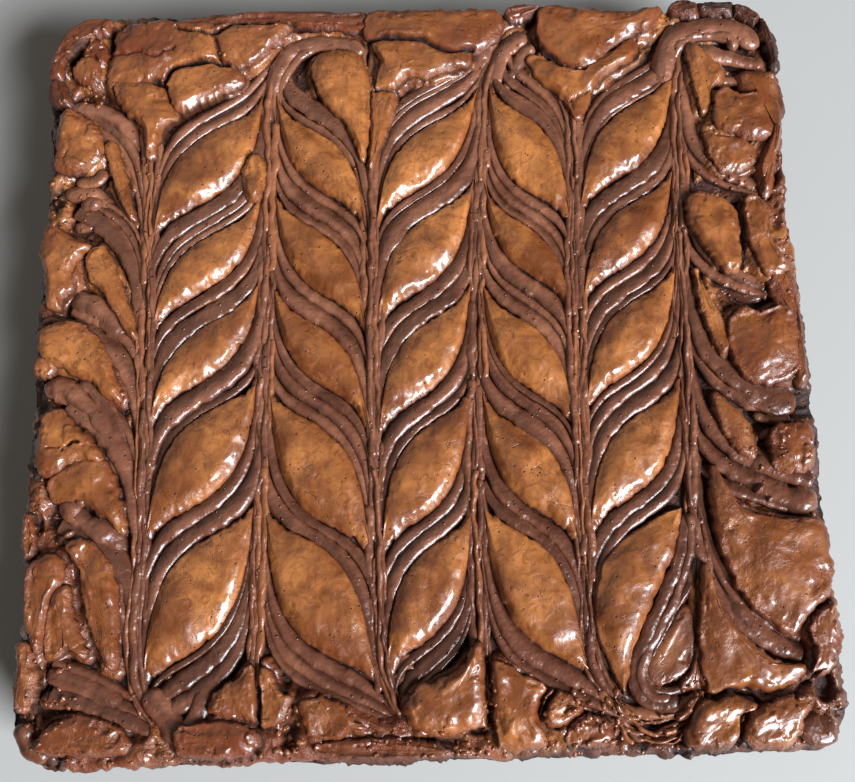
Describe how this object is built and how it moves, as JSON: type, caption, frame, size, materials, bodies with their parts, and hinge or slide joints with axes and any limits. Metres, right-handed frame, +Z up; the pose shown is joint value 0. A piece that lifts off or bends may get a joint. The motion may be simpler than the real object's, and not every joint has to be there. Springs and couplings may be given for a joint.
{
  "type": "chocolate brownie",
  "caption": "Whole square chocolate brownie slab with a craggy rim and a feathered marbled top, to stand flat on a board, plate or worktop.",
  "frame": {"origin": "centre of the flat underside, which is the bottom centre of the bounding box", "axes": "+Z up out of the marbled top, +X to the right and +Y to the back as the picture shows it"},
  "size_m": [0.2016, 0.2016, 0.0325],
  "materials": {
    "crust": "satin baked crust",
    "spread": "soft satin chocolate spread",
    "crumb": "moist dark crumb"
  },
  "bodies": {
    "root": {"brownie": "crust"}
  },
  "joints": []
}
